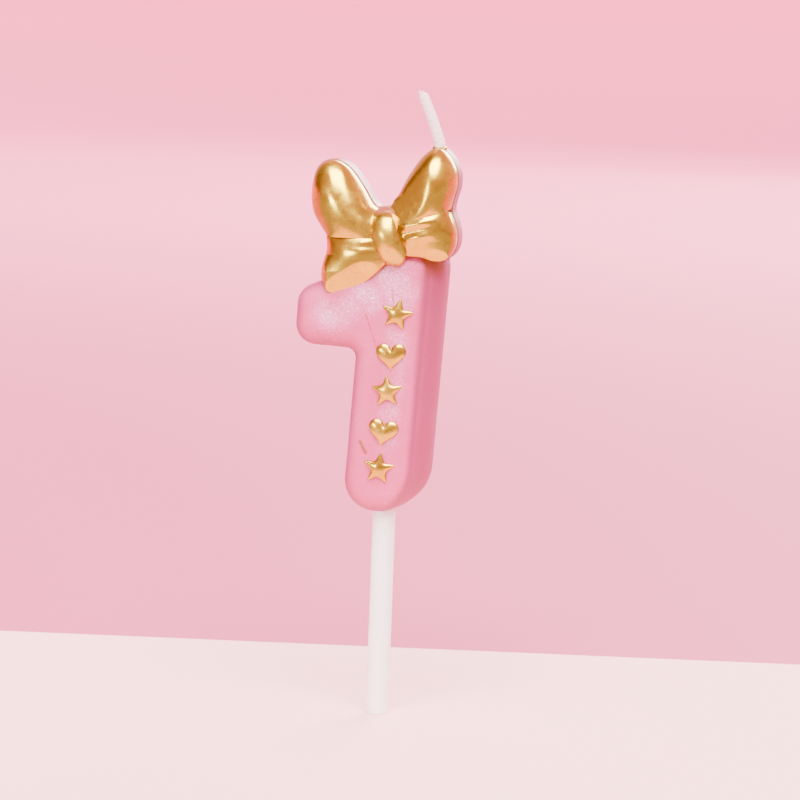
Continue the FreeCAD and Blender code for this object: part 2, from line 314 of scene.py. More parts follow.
RIGHT_TAIL_EDGE = [
    (11.1, 58.7), (12.0, 56.5), (12.6, 53.8), (12.2, 51.3), (10.7, 49.5), (8.4, 49.2), (6.0, 49.7),
    (2.6, 49.9), (1.2, 50.6),
]
KNOT_EDGE = [
    (-3.2, 57.5), (-0.9, 58.2), (1.2, 57.6), (2.5, 55.2), (3.4, 52.4), (3.7, 50.2), (2.6, 48.1), (0.5, 47.9),
    (-1.2, 48.7), (-2.9, 51.4), (-3.9, 54.4), (-3.2, 57.5),
]
LEFT_CREASE_END = (-2.2, 53.0)
RIGHT_CREASE_END = (1.6, 55.9)
OUTLINE_POINTS = 220


def closed_piece(*stretches, softness=10):
    """A closed outline from stretches of edge and single points, in order."""
    points = np.vstack([np.array(s, float).reshape(-1, 2) for s in stretches])
    return even_loop(points, OUTLINE_POINTS, softness)


# ------------------------------------------------------------------------ the wax casting
# The numeral's corners before it leans, as (x, z, radius), and the planes of its face and its flat back.
NUMERAL_CORNERS = [
    (8.05, 0.15, 9.2), (8.05, 55, 4.5), (-20, 41.5, 4.1), (-20, 31.1, 4.1), (-7.85, 31.1, 1.8),
    (-7.85, 0.15, 6.0),
]
FACE = 5.35
FACE_DROP = 5.4  # how far the face's worn shoulder falls away over its own width
BACK = 4.6


def side_outline(loop_edge, tail_edge, crease_end):
    return Flat(closed_piece(free_curve(loop_edge), free_curve(tail_edge), crease_end, softness=6))


def wax_distance():
    """The numeral and the bow's backing as one casting."""
    numeral = Flat(rounded_polygon(NUMERAL_CORNERS))
    left = side_outline(LEFT_LOOP_EDGE, LEFT_TAIL_EDGE, LEFT_CREASE_END)
    right = side_outline(RIGHT_LOOP_EDGE, RIGHT_TAIL_EDGE, RIGHT_CREASE_END)
    knot = Flat(even_loop(free_curve(KNOT_EDGE), 120, 6))

    def distance(p):
        x, y, z = p.T
        along_x, rise = upright(x, z)
        flat = numeral(along_x, rise)
        inward = 3.1 + 1.4 * np.clip(rise / 45, 0, 1)
        off_right = np.clip((5.2 - along_x) / 8, 0, 1)
        slope = ((flat + inward) * FACE_DROP - (y + FACE) * inward) / np.hypot(inward, FACE_DROP)
        slope = slope - 6 * off_right
        body = smooth_max(slab(flat, y, FACE, BACK, 3.7, 3.3, 0.5), slope, 2.6)
        backing = slab(np.minimum(left(x, z) - 0.28, right(x, z) - 0.12), y, 1.6, BACK, 0.5, 0.5, 0.7)
        under_knot = np.minimum(knot(x, z) + 0.3, knot(x - 0.1, z - 1.3) + 0.35)
        middle = slab(under_knot, y, 6.2, BACK, 2.0, 2.2, 0.7)
        whole = smooth_min(smooth_min(body, backing, 0.5), middle, 0.7)
        return whole + 0.05 * ripple(x, y, z, 9.0) * np.clip((5 - np.abs(y)) / 3, 0, 1)

    return distance


def build_wax(material):
    """The wax casting, with gold overpaint marked where the bow's paint ran past its edge."""
    vertices, faces = solid_from(wax_distance(), (-18.9, -6.4, -0.8), (13.6, 5.3, 71.6), 0.36)
    piece = make_piece("wax_casting", vertices, faces, material)
    x, y, z = vertices.T
    _, rise = upright(x, z)
    above = np.clip((rise - 45.5) / 3, 0, 1)
    above *= np.maximum(np.clip((y + 4.7) / 0.5, 0, 1), np.clip((rise - 56) / 1.0, 0, 1))
    edge = 1.0 + 0.5 * ripple(x, y, z, 5.0)
    paint = piece.data.attributes.new("overpaint", "FLOAT", "POINT")
    paint.data.foreach_set("value", (above * np.clip((edge - y) / 0.9, 0, 1)).astype(np.float32))
    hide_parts("numeral", "bow_left_back", "bow_right_back")
    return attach(piece, "number")


# ------------------------------------------------------------------------ gold pillows
def film(points, triangles, held, heights):
    """A film over flat triangles, held at `heights` along its edge and blown up until it peaks at 1."""
    count = len(points)
    ends, weights = [], []
    load = np.zeros(count)
    for n in range(3):
        i, j, k = (triangles[:, (n + m) % 3] for m in range(3))
        u, v = points[j] - points[i], points[k] - points[i]
        cross = np.abs(u[:, 0] * v[:, 1] - u[:, 1] * v[:, 0]) + 1e-9
        cotangent = (u * v).sum(axis=1) / cross / 2
        ends += [(j, k), (k, j)]
        weights += [cotangent, cotangent]
        load += np.bincount(i, cross / 6, count)
    row = np.concatenate([e[0] for e in ends])
    column = np.concatenate([e[1] for e in ends])
    weight = np.concatenate(weights)
    total = np.bincount(row, weight, count)
    pull = lambda h: total * h - np.bincount(row, weight * h[column], count)

    def settled(edge, push):
        h = np.where(held, edge, 0.0)
        left = np.where(held, 0.0, push - pull(h))
        step = left / total
        energy = left @ step
        for _ in range(600 if energy > 0 else 0):
            drag = np.where(held, 0.0, pull(step))
            share = energy / (step @ drag)
            h = h + share * step
            left = left - share * drag
            eased = left / total
            new_energy = left @ eased
            if new_energy < 1e-12:
                break
            step = eased + new_energy / energy * step
            energy = new_energy
        return h

    blown = settled(np.zeros(count), load)
    hung = settled(heights, np.zeros(count))
    low, high = 0.0, 20 / blown.max()
    for _ in range(40):
        push = (low + high) / 2
        if (hung + push * blown).max() < 1:
            low = push
        else:
            high = push
    return np.clip(hung + low * blown, 0, 1)


def steady(value):
    """The same value at every place."""
    return lambda x, z: np.full(np.shape(x), float(value))


def pillow(
    name, loop, centre, depth, wall, edge, power, material, back=0.6, rings=36, shape=None, place=None,
):
    """A puffed piece on an outline, as a film blown up inside it. Heights are millimetres towards -Y.

    Functions of the place (x, z) give its crown, `depth`; how far its free edge stands out, `wall`; and how
    full it stays along that edge, `edge`. `power` is how round its section is: the smaller, the fuller.
    `shape` may change the heights and `place` the finished points, and its flat back lies at `back`.
    """
    centre = np.array(centre, float)
    count = len(loop)
    flat = [centre[None, :]]
    for k in range(1, rings + 1):
        flat.append(centre + math.sin(math.pi / 2 * k / rings) * (loop - centre))
    flat = np.vstack(flat)
    ring = lambda k, i: 1 + k * count + i % count
    faces = [(0, ring(0, i), ring(0, i + 1)) for i in range(count)]
    for k in range(rings - 1):
        faces += [(ring(k, i), ring(k + 1, i), ring(k + 1, i + 1), ring(k, i + 1)) for i in range(count)]
    triangles = [f for f in faces if len(f) == 3]
    triangles += [t for a, b, c, d in faces[count:] for t in ((a, b, c), (a, c, d))]
    held = np.arange(len(flat)) > len(flat) - 1 - count
    full = film(flat, np.array(triangles), held, edge(*flat.T))
    low = wall(*flat.T)
    height = low + (depth(*flat.T) - low) * full ** power
    if shape:
        height = shape(*flat.T, height)
    layers = [np.stack([flat[:, 0], -height, flat[:, 1]], axis=1)]
    rim = height[-count:]
    for t in np.linspace(0, 1, 9)[1:]:
        side = centre + (1 - 0.02 * t) * (loop - centre)
        layers.append(np.stack([side[:, 0], -(rim + (back - rim) * t), side[:, 1]], axis=1))
    vertices = np.vstack(layers + [np.array([[centre[0], -back, centre[1]]])])
    last = rings + 7
    for k in range(rings - 1, last):
        faces += [(ring(k, i), ring(k + 1, i), ring(k + 1, i + 1), ring(k, i + 1)) for i in range(count)]
    faces += [(len(vertices) - 1, ring(last, i + 1), ring(last, i)) for i in range(count)]
    if place:
        vertices = place(vertices)
    piece = make_piece(name, vertices, faces, material)
    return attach(piece, "number")


def along(x, z, start, end):
    """How far along, and how far to the left of, the line from start to end a place lies, in millimetres."""
    dx, dz = end[0] - start[0], end[1] - start[1]
    length = math.hypot(dx, dz)
    dx, dz = dx / length, dz / length
    return (x - start[0]) * dx + (z - start[1]) * dz, (z - start[1]) * dx - (x - start[0]) * dz


def fold(x, z, start, end, height, width):
    """A soft ridge, or a furrow if height is negative, that fades out at the end of its line."""
    go, side = along(x, z, start, end)
    length = math.hypot(end[0] - start[0], end[1] - start[1])
    fade = np.clip((go + 0.8) / 1.2, 0, 1) * np.clip((length - go) / (0.6 * length), 0, 1)
    return height * np.exp(-(side / width) ** 2) * fade


def crease_edge(x, z, outer, inner, full, outer_full, knot_full):
    """How full the film stays along its edge: `full` on the crease, and less at both its ends."""
    go, side = along(x, z, outer, inner)
    length = math.hypot(inner[0] - outer[0], inner[1] - outer[1])
    swell = outer_full + (full - outer_full) * np.clip(go / 4.5, 0, 1)
    on_crease = (np.abs(side) < 0.35) * np.clip((go + 0.2) / 0.8, 0, 1) * (go < length + 0.5)
    towards_knot = np.clip(1 - np.hypot(x - inner[0], z - inner[1]) / 5.5, 0, 1)
    return np.maximum(swell * on_crease, knot_full * np.clip(2.5 * towards_knot, 0, 1))


LOOP_WALL = 2.3
TAIL_WALL = 2.6
KNOT_WALL = 5.4


def build_bow(gold):
    """The bow's five gold pieces, each puffed up on its own outline."""
    # Left loop: an egg whose crown lies towards its outer end, tucked under at its lower edge.
    left_crease = (LEFT_LOOP_EDGE[-1], LEFT_CREASE_END)

    def left_loop_depth(x, z):
        return 7.6 - 0.06 * np.clip(x + 8.0, 0, None) + fold(x, z, (-3.2, 56.8), (-7.5, 59.5), -0.25, 0.8)

    loop = closed_piece(free_curve(LEFT_LOOP_EDGE), LEFT_CREASE_END)
    left_loop_edge = lambda x, z: crease_edge(x, z, *left_crease, 0.80, 0.40, 0.45)
    piece = pillow(
        "bow_left_loop_gold", loop, (-9.9, 60.2), left_loop_depth, steady(LOOP_WALL), left_loop_edge, 0.58,
        gold,
    )
    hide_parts("bow_left_loop")

    # Left tail: it rises from the crease to a crest low on it, and rolls under below that.
    def left_tail_depth(x, z):
        crown = 8.3 - 0.10 * np.clip(x + 5.0, 0, None) - 0.13 * np.clip(-3.0 - x, 0, None)
        return crown + fold(x, z, (-2.4, 51.6), (-8.0, 51.4), -0.18, 0.6)

    def left_tail_shape(x, z, height):
        _, side = along(x, z, (-12.5, 46.4), (-0.8, 50.3))
        return smooth_min(height, 8.25 + 0.66 * side, 0.4)

    def left_tail_wall(x, z):
        return TAIL_WALL + 3.0 * np.clip((49.5 - z) / 3, 0, 1) * np.clip((x + 13.3) / 1.6, 0, 1)

    tail = closed_piece(free_curve(LEFT_TAIL_EDGE), LEFT_CREASE_END)
    left_tail_edge = lambda x, z: crease_edge(x, z, *left_crease, 0.56, 0.18, 0.45)
    piece = pillow(
        "bow_left_tail_gold", tail, (-7.9, 48.6), left_tail_depth, left_tail_wall, left_tail_edge, 0.40, gold,
        shape=left_tail_shape,
    )
    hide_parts("bow_left_tail")

    # Right loop: a rounded ridge runs up it between two flatter flanks.
    right_crease = (RIGHT_LOOP_EDGE[-1], RIGHT_CREASE_END)

    def right_loop_shape(x, z, height):
        _, side = along(x, z, (6.9, 58.4), (10.0, 68.8))
        roof = smooth_min(8.2 - 0.50 * side, 8.2 + 0.24 * side, 1.1)
        return smooth_min(height, roof, 0.7)

    loop = closed_piece(free_curve(RIGHT_LOOP_EDGE), RIGHT_CREASE_END)
    right_loop_edge = lambda x, z: crease_edge(x, z, *right_crease, 0.78, 0.35, 0.62)
    piece = pillow(
        "bow_right_loop_gold", loop, (6.9, 63.6), steady(8.3), steady(LOOP_WALL), right_loop_edge, 0.60, gold,
        shape=right_loop_shape,
    )
    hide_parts("bow_right_loop")

    # Right tail: folds spread from the knot over it, and its lower edge rolls under.
    def right_tail_depth(x, z):
        crown = 7.7 - 0.13 * np.clip(8.5 - x, 0, None)
        crown += fold(x, z, (2.9, 55.6), (10.5, 57.4), 0.60, 0.85)
        crown += fold(x, z, (3.4, 52.9), (9.4, 54.8), 0.50, 0.8)
        return crown + fold(x, z, (3.2, 54.3), (8.4, 55.9), -0.25, 0.6)

    def right_tail_shape(x, z, height):
        _, side = along(x, z, (2.5, 51.2), (12.0, 52.8))
        return smooth_min(height, 7.75 + 0.9 * side, 0.5)

    def right_tail_wall(x, z):
        return TAIL_WALL + 2.5 * np.clip((53.0 - z) / 3, 0, 1) * np.clip((12.9 - x) / 1.6, 0, 1)

    tail = closed_piece(free_curve(RIGHT_TAIL_EDGE), RIGHT_CREASE_END)
    right_tail_edge = lambda x, z: crease_edge(x, z, *right_crease, 0.90, 0.26, 0.80)
    piece = pillow(
        "bow_right_tail_gold", tail, (7.4, 53.8), right_tail_depth, right_tail_wall, right_tail_edge, 0.40,
        gold, shape=right_tail_shape,
    )
    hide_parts("bow_right_tail")

    # Knot: a leaning barrel, deepest of all, that comes forward to meet the viewer.
    def knot_depth(x, z):
        go, _ = along(x, z, (1.6, 49.0), (-1.0, 57.6))
        return 8.75 - 0.035 * (go - 4.6) ** 2

    knot = even_loop(free_curve(KNOT_EDGE), 180, 6)
    piece = pillow("bow_knot_gold", knot, (0.1, 53.4), knot_depth, steady(KNOT_WALL), steady(0), 0.52, gold)
    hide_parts("bow_knot")


# ------------------------------------------------------------------------ the charms
CHARM_CROWN = 6.3
CHARM_EDGE = 5.5
CHARM_BACK = 4.9  # inside the wax, so that no gap shows under a charm
STAR_POINT = 3.3
STAR_DIP = 1.55
HEART_SCALE = 0.182


def star_loop():
    angles = [math.radians(90 + 36 * i) for i in range(10)]
    reach = [STAR_POINT if i % 2 == 0 else STAR_DIP for i in range(10)]
    return even_loop(np.array([[r * math.cos(a), r * math.sin(a)] for r, a in zip(reach, angles)]), 150, 8)


def heart_loop():
    t = np.linspace(0, 2 * math.pi, 150, endpoint=False)
    x = 16 * np.sin(t) ** 3
    z = 13 * np.cos(t) - 5 * np.cos(2 * t) - 2 * np.cos(3 * t) - np.cos(4 * t)
    return even_loop(np.stack([x, z + 2.5], axis=1) * HEART_SCALE, 150, 2)


def build_charms(gold):
    """Raised stars and hearts down the stem, each set a little crooked, as hand-poured relief is."""
    turns = {
        "charm_star_top": 8, "charm_heart_upper": -4, "charm_star_middle": -6, "charm_heart_lower": 5,
        "charm_star_bottom": 3,
    }
    for seed, (node, turn) in enumerate(turns.items()):
        low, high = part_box(node)
        middle = (low + high) / 2 / MM
        loop = star_loop() if "star" in node else heart_loop()
        angle = LEAN + math.radians(turn)

        def place(v, middle=middle, angle=angle, seed=seed):
            x = v[:, 0] * math.cos(angle) + v[:, 2] * math.sin(angle)
            z = -v[:, 0] * math.sin(angle) + v[:, 2] * math.cos(angle)
            wobble = 0.05 * ripple(x + 9 * seed, 0, z, 2.5)
            return np.stack([x + middle.x + wobble, v[:, 1], z + middle.z + wobble], axis=1)

        piece = pillow(
            f"{node}_gold", loop, (0.0, 0.0), steady(CHARM_CROWN), steady(CHARM_EDGE), steady(0), 0.55, gold,
            back=CHARM_BACK, rings=18, place=place,
        )
        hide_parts(node)


# ------------------------------------------------------------------------ the wick and the stick
WICK_LINE = [
    (8.15, 0.0, 67.6), (8.2, 0.0, 69.4), (8.22, 0.0, 70.9), (7.72, -0.02, 72.5), (6.75, -0.05, 75.2),
    (5.65, 0.0, 77.9), (4.45, 0.06, 80.6),
]


def tube(line, section, count):
    """A tube along a line: `section` gives (sideways, forward) for each angle and distance along it."""
    line = np.asarray(line, float)
    run = np.concatenate([[0], np.cumsum(np.linalg.norm(np.diff(line, axis=0), axis=1))])
    ahead = np.gradient(line, axis=0)
    ahead /= np.linalg.norm(ahead, axis=1)[:, None]
    forward = np.array([0.0, -1.0, 0.0]) - ahead * (ahead @ np.array([0.0, -1.0, 0.0]))[:, None]
    forward /= np.linalg.norm(forward, axis=1)[:, None]
    sideways = np.cross(forward, ahead)
    angles = np.linspace(0, 2 * math.pi, count, endpoint=False)
    rings = []
    for centre, s, f, d in zip(line, sideways, forward, run):
        u, v = section(angles, d, run[-1])
        rings.append(centre + u[:, None] * s + v[:, None] * f)
    vertices = np.vstack(rings + [line[:1], line[-1:]])
    rows = len(line)
    faces = []
    for k in range(rows - 1):
        for i in range(count):
            j = (i + 1) % count
            faces.append((k * count + i, k * count + j, (k + 1) * count + j, (k + 1) * count + i))
    foot, top = rows * count, rows * count + 1
    for i in range(count):
        j = (i + 1) % count
        faces.append((foot, j, i))
        faces.append((top, (rows - 1) * count + i, (rows - 1) * count + j))
    return vertices, faces


def curve_3d(points, per_span):
    """A smooth open curve through a few points in space."""
    points = np.array(points, float)
    flat = free_curve(points[:, [0, 2]], per_span)
    deep = free_curve(points[:, [1, 2]], per_span)
    return np.stack([flat[:, 0], deep[:, 0], flat[:, 1]], axis=1)


def wick_section(angle, along_it, length):
    """A flat braid of three strands under a skin of wax, thinner and slack towards its cut end."""
    to_go = length - along_it
    thin = 1 - 0.16 * along_it / length
    end = np.sqrt(np.clip(to_go / 0.5, 0.02, 1))
    turn = 2 * math.pi * along_it / 2.1
    plait = np.abs(np.sin(1.5 * angle + turn)) + np.abs(np.sin(1.5 * angle - turn))
    size = thin * end * (0.97 + 0.045 * plait + 0.02 * np.sin(5 * angle + 3.1 * turn))
    return 1.10 * size * np.cos(angle), 0.82 * size * np.sin(angle)


def build_wick(material):
    """The bare wick: one braid that bends at its foot, with loose strands at its cut end."""
    line = curve_3d(WICK_LINE, 22)
    vertices, faces = tube(line, wick_section, 56)
    vertices = [vertices]
    faces = [np.array(f) for f in faces]
    used = len(vertices[0])
    rng = np.random.default_rng(7)
    tip = line[-1]
    ahead = (line[-1] - line[-4]) / np.linalg.norm(line[-1] - line[-4])
    for _ in range(16):
        sway = rng.normal(0, 0.28, 3)
        start = tip - ahead * 0.45 + np.array([rng.uniform(-0.6, 0.6), rng.uniform(-0.5, 0.5), 0])
        reach = rng.uniform(0.5, 1.15)
        steps = np.linspace(0, 1, 7)[:, None]
        strand = start + ahead * reach * steps + sway * steps ** 2 * 0.5
        thick = rng.uniform(0.06, 0.11)
        section = lambda a, d, l, thick=thick: (
            thick * (1 - 0.7 * d / l) * np.cos(a), thick * (1 - 0.7 * d / l) * np.sin(a))
        more, links = tube(strand, section, 8)
        vertices.append(more)
        faces += [np.array(f) + used for f in links]
        used += len(more)
    piece = make_piece("wick_braid", np.vstack(vertices), faces, material)
    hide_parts("wick_tip")
    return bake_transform(piece)


def build_crumbs(gold):
    """Gold paint that has gathered in lumps round the foot of the wick."""
    low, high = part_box("wick_collar")
    middle = (low + high) / 2 / MM
    rng = np.random.default_rng(3)
    lumps = []
    for i in range(11):
        angle = 2 * math.pi * (i + rng.uniform(-0.3, 0.3)) / 11
        reach = rng.uniform(0.95, 1.2)
        lumps.append((middle.x + reach * math.cos(angle), middle.y + reach * math.sin(angle),
                      middle.z + rng.uniform(0.05, 0.55), rng.uniform(0.24, 0.42)))

    def distance(p):
        x, y, z = p.T
        ring = np.hypot(np.hypot(x - middle.x, y - middle.y) - 1.05, (z - middle.z + 0.1) * 0.8) - 0.42
        for cx, cy, cz, radius in lumps:
            blob = np.sqrt((x - cx) ** 2 + (y - cy) ** 2 + (z - cz) ** 2) - radius
            ring = smooth_min(ring, blob, 0.12)
        return ring

    span = np.array([2.2, 2.2, 1.3])
    centre = np.array([middle.x, middle.y, middle.z])
    vertices, faces = solid_from(distance, centre - span, centre + span, 0.09)
    piece = make_piece("wick_gold_crumbs", vertices, faces, gold)
    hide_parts("wick_collar")
    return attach(piece, "number")


def build_stick(material):
    """The tube stick, turned from its section: bare below the wax, its two cut ends slightly rounded."""
    low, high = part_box("stick")
    bottom, top = low.z / MM, high.z / MM
    outside = high.x / MM
    bore = 1.4
    lip = 0.16
    gripped = 0.2  # how much thinner the end inside the wax is
    arc = [(math.sin(a), 1 - math.cos(a)) for a in np.linspace(0, math.pi / 2, 5)]
    profile = [(bore, top - lip), (bore, bottom + lip)]
    for a in np.linspace(0.3, 1.5, 4):
        profile.append((bore + lip - lip * math.cos(a), bottom + lip - lip * math.sin(a)))
    profile += [(outside - lip + lip * s, bottom + lip * c) for s, c in arc]
    profile += [(outside, z) for z in np.linspace(bottom + 2, -0.4, 16)]
    profile += [(outside - gripped, 0.1), (outside - gripped, top - lip), (outside - lip - gripped, top)]
    count = 96
    angles = np.linspace(0, 2 * math.pi, count, endpoint=False)
    vertices = []
    for radius, z in profile:
        reach = radius + 0.012 * np.sin(2 * angles + 0.05 * z)
        vertices.append(np.stack([reach * np.cos(angles), reach * np.sin(angles), np.full(count, z)], axis=1))
    rows = len(profile)
    faces = []
    for k in range(rows):
        n = (k + 1) % rows
        for i in range(count):
            j = (i + 1) % count
            faces.append((k * count + i, k * count + j, n * count + j, n * count + i))
    piece = make_piece("stick_tube", np.vstack(vertices), faces, material)
    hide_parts("stick")
    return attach(piece, "stick")


# ------------------------------------------------------------------------ materials
class Nodes:
    """A short way to write a material's node tree."""

    def __init__(self, name):
        self.material = bpy.data.materials.new(name)
        self.material.use_nodes = True
        self.tree = self.material.node_tree
        self.shader = self.tree.nodes["Principled BSDF"]
        self.place = self.add("ShaderNodeTexCoord").outputs["Object"]

    def add(self, kind, **settings):
        node = self.tree.nodes.new(kind)
        for key, value in settings.items():
            setattr(node, key, value)
        return node

    def link(self, source, target):
        self.tree.links.new(source, target)

    def feed(self, socket, value):
        if hasattr(value, "is_linked"):
            self.link(value, socket)
        else:
            socket.default_value = value

    def math(self, operation, a, b=0.0):
        node = self.add("ShaderNodeMath", operation=operation)
        for socket, value in zip(node.inputs, (a, b)):
            self.feed(socket, value)
        return node.outputs[0]

    def noise(self, size_mm, detail=3.0, roughness=0.5, stretch=None):
        node = self.add("ShaderNodeTexNoise")
        node.inputs["Scale"].default_value = 1000.0 / size_mm
        node.inputs["Detail"].default_value = detail
        node.inputs["Roughness"].default_value = roughness
        place = self.place
        if stretch:
            mapping = self.add("ShaderNodeMapping")
            mapping.inputs["Scale"].default_value = stretch
            self.link(place, mapping.inputs["Vector"])
            place = mapping.outputs[0]
        self.link(place, node.inputs["Vector"])
        return node.outputs["Fac"]

    def cells(self, size_mm):
        node = self.add("ShaderNodeTexVoronoi")
        node.inputs["Scale"].default_value = 1000.0 / size_mm
        self.link(self.place, node.inputs["Vector"])
        return node

    def between(self, value, low, high, out_low=0.0, out_high=1.0):
        node = self.add("ShaderNodeMapRange", clamp=True, interpolation_type="SMOOTHSTEP")
        self.feed(node.inputs["Value"], value)
        for key, number in zip(("From Min", "From Max", "To Min", "To Max"), (low, high, out_low, out_high)):
            node.inputs[key].default_value = number
        return node.outputs[0]

    def mix(self, factor, a, b):
        node = self.add("ShaderNodeMix", data_type="RGBA")
        self.feed(node.inputs["Factor"], factor)
        for socket, value in ((node.inputs[6], a), (node.inputs[7], b)):
            if hasattr(value, "is_linked"):
                self.link(value, socket)
            else:
                socket.default_value = (*value, 1.0)
        return node.outputs[2]

    def bump(self, height, strength, distance_mm, onto=None):
        node = self.add("ShaderNodeBump")
        node.inputs["Strength"].default_value = strength
        node.inputs["Distance"].default_value = distance_mm * MM
        self.link(height, node.inputs["Height"])
        if onto:
            self.link(onto, node.inputs["Normal"])
        return node.outputs[0]

    def set(self, **values):
        for key, value in values.items():
            name = key.replace("_", " ")
            socket = self.shader.inputs[name]
            if hasattr(value, "is_linked"):
                self.link(value, socket)
            elif isinstance(value, tuple) and len(value) == 3 and socket.type == "RGBA":
                socket.default_value = (*value, 1.0)
            else:
                socket.default_value = value
        return self.material

    def facing(self, axis):
        """How far the surface faces along one of the piece's own axes, from -1 to 1."""
        coordinates = self.add("ShaderNodeTexCoord")
        split = self.add("ShaderNodeSeparateXYZ")
        self.link(coordinates.outputs["Normal"], split.inputs[0])
        return split.outputs[axis]

    def near_line(self, start, end, width_mm):
        """1 on the line between two (x, z) places in millimetres, 0 away from it."""
        (x0, z0), (x1, z1) = start, end
        length = math.hypot(x1 - x0, z1 - z0)
        dx, dz = (x1 - x0) / length, (z1 - z0) / length
        split = self.add("ShaderNodeSeparateXYZ")
        self.link(self.place, split.inputs[0])
        x = self.math("ADD", split.outputs[0], -x0 * MM)
        z = self.math("ADD", split.outputs[2], -z0 * MM)
        go = self.math("ADD", self.math("MULTIPLY", x, dx), self.math("MULTIPLY", z, dz))
        side = self.math("ADD", self.math("MULTIPLY", z, dx), self.math("MULTIPLY", x, -dz))
        beyond = self.math("MAXIMUM", self.math("MULTIPLY", go, -1.0), self.math("ADD", go, -length * MM))
        beyond = self.math("MAXIMUM", beyond, 0.0)
        squares = self.math("ADD", self.math("MULTIPLY", side, side), self.math("MULTIPLY", beyond, beyond))
        away = self.math("SQRT", squares)
        return self.between(away, width_mm * MM, 0.0)


def wax_material():
    """Pink wax with a pearl dusting on its face, scratched in places, and gold overspray under the bow; its
    sides are darkened with painted shade, and the pearl carries painted sheen and painted glints.
    """
    n = Nodes("pearl_pink_wax")
    front = n.between(n.math("MULTIPLY", n.facing(1), -1.0), 0.35, 0.95)
    # Pearl dust in clouds, partly real dusting and partly painted sheen: it is laid thickest on the arm, the
    # upper stem and down the charm column, where the coat's sheen catches the light.
    dust_and_sheen_cloud = n.between(n.noise(9.0, 4.0, 0.6), 0.36, 0.66, 0.15, 1.0)
    arm_sheen = n.near_line((-10.5, 38.8), (-4.0, 41.5), 5.6)
    patch = n.math("MAXIMUM", arm_sheen, n.near_line((0.5, 47.0), (2.5, 42.0), 5.5))
    patch = n.math("MAXIMUM", patch, n.math("MULTIPLY", n.near_line((2.5, 38.0), (0.5, 10.0), 3.6), 0.75))
    dust_and_sheen_cloud = n.math("MULTIPLY", dust_and_sheen_cloud, n.between(patch, 0.0, 0.8, 0.12, 1.0))
    grain = n.between(n.noise(0.45, 5.0, 0.8), 0.38, 0.64)
    # Painted glints: each flake is a pale lavender-white speck painted into the colour, standing for a flake
    # catching the light.
    cells = n.cells(0.2)
    painted_flake_glints = n.between(cells.outputs["Color"], 0.55, 0.85)
    long_scratch = n.near_line((-4.3, 39.3), (-1.7, 32.3), 0.30)
    scratches = n.math("MAXIMUM", long_scratch, n.near_line((0.9, 43.6), (1.3, 40.9), 0.26))
    scratches = n.math("MULTIPLY", n.math("MULTIPLY", scratches, front), n.between(n.noise(0.8), 0.30, 0.55))
    whole = n.math("SUBTRACT", 1.0, n.math("MULTIPLY", scratches, 0.8))
    dust_and_sheen = n.math("MULTIPLY", n.math("MULTIPLY", front, dust_and_sheen_cloud), whole)
    flakes_with_painted_glints = n.math("MULTIPLY", dust_and_sheen, n.math("MULTIPLY", painted_flake_glints, grain))
    wax = n.mix(n.noise(14.0, 2.0), (0.55, 0.052, 0.170), (0.61, 0.066, 0.200))
    # Painted shade: the wax turns a deeper pink where the surface faces sideways, away from the front and
    # back, so the sides look shaded.
    flank_painted_shade = n.between(n.math("ABSOLUTE", n.facing(1)), 0.97, 0.55)
    wax = n.mix(flank_painted_shade, wax, (0.37, 0.040, 0.125))
    wax = n.mix(scratches, wax, (0.50, 0.02, 0.07))
    # The pearl dust lightens the face towards lavender-white, partly the dust's own colour and partly painted
    # sheen; the flakes add painted glints on top.
    pearl_dust_and_sheen = n.mix(n.math("MULTIPLY", dust_and_sheen, n.between(grain, 0.0, 1.0, 0.40, 0.85)), wax, (0.74, 0.28, 0.53))
    pearl_and_glints = n.mix(n.math("MULTIPLY", flakes_with_painted_glints, 0.9), pearl_dust_and_sheen, (0.96, 0.72, 0.95))
    paint = n.add("ShaderNodeAttribute", attribute_name="overpaint").outputs["Fac"]
    stray = n.near_line((-4.3, 14.0), (-3.1, 11.9), 0.55)
    stray = n.math("MULTIPLY", stray, n.between(n.noise(0.6), 0.30, 0.42))
    stray = n.math("MULTIPLY", stray, front)
    worn = n.between(n.noise(1.2, 4.0), 0.25, 0.5, 0.55, 1.0)
    paint = n.math("MAXIMUM", n.math("MULTIPLY", paint, worn), stray)
    colour = n.mix(paint, pearl_and_glints, (0.26, 0.070, 0.026))
    roughness = n.mix(paint, n.mix(flakes_with_painted_glints, (0.46,) * 3, (0.24,) * 3), (0.40,) * 3)
    pores = n.bump(n.noise(2.6, 3.0), 0.25, 0.10)
    grit = n.bump(n.math("MULTIPLY", grain, dust_and_sheen), 0.35, 0.05, pores)
    return n.set(
        Base_Color=colour, Roughness=roughness, Metallic=n.math("MULTIPLY", paint, 0.2), Normal=grit,
        Subsurface_Weight=0.3, Subsurface_Radius=(1.0, 0.6, 0.6), Subsurface_Scale=0.0010, IOR=1.44,
        Specular_IOR_Level=0.28,
    )


def gold_material():
    """Metallic gold paint: mirror-like in the thick, speckled where it is thin, with faint brush marks."""
    n = Nodes("gold_paint")
    patch = n.between(n.noise(3.5, 4.0, 0.6), 0.35, 0.68)
    speck = n.between(n.noise(0.42, 3.0, 0.7), 0.52, 0.70)
    colour = n.mix(patch, (0.52, 0.33, 0.024), (0.62, 0.42, 0.032))
    colour = n.mix(n.math("MULTIPLY", speck, 0.5), colour, (0.38, 0.20, 0.018))
    roughness = n.between(patch, 0.0, 1.0, 0.20, 0.30)
    strokes = n.bump(n.noise(1.6, 3.0, 0.6, (1.0, 1.0, 0.35)), 0.13, 0.06)
    specks = n.bump(n.noise(0.35, 2.0, 0.6), 0.26, 0.02, strokes)
    return n.set(Base_Color=colour, Roughness=roughness, Metallic=1.0, Normal=specks)


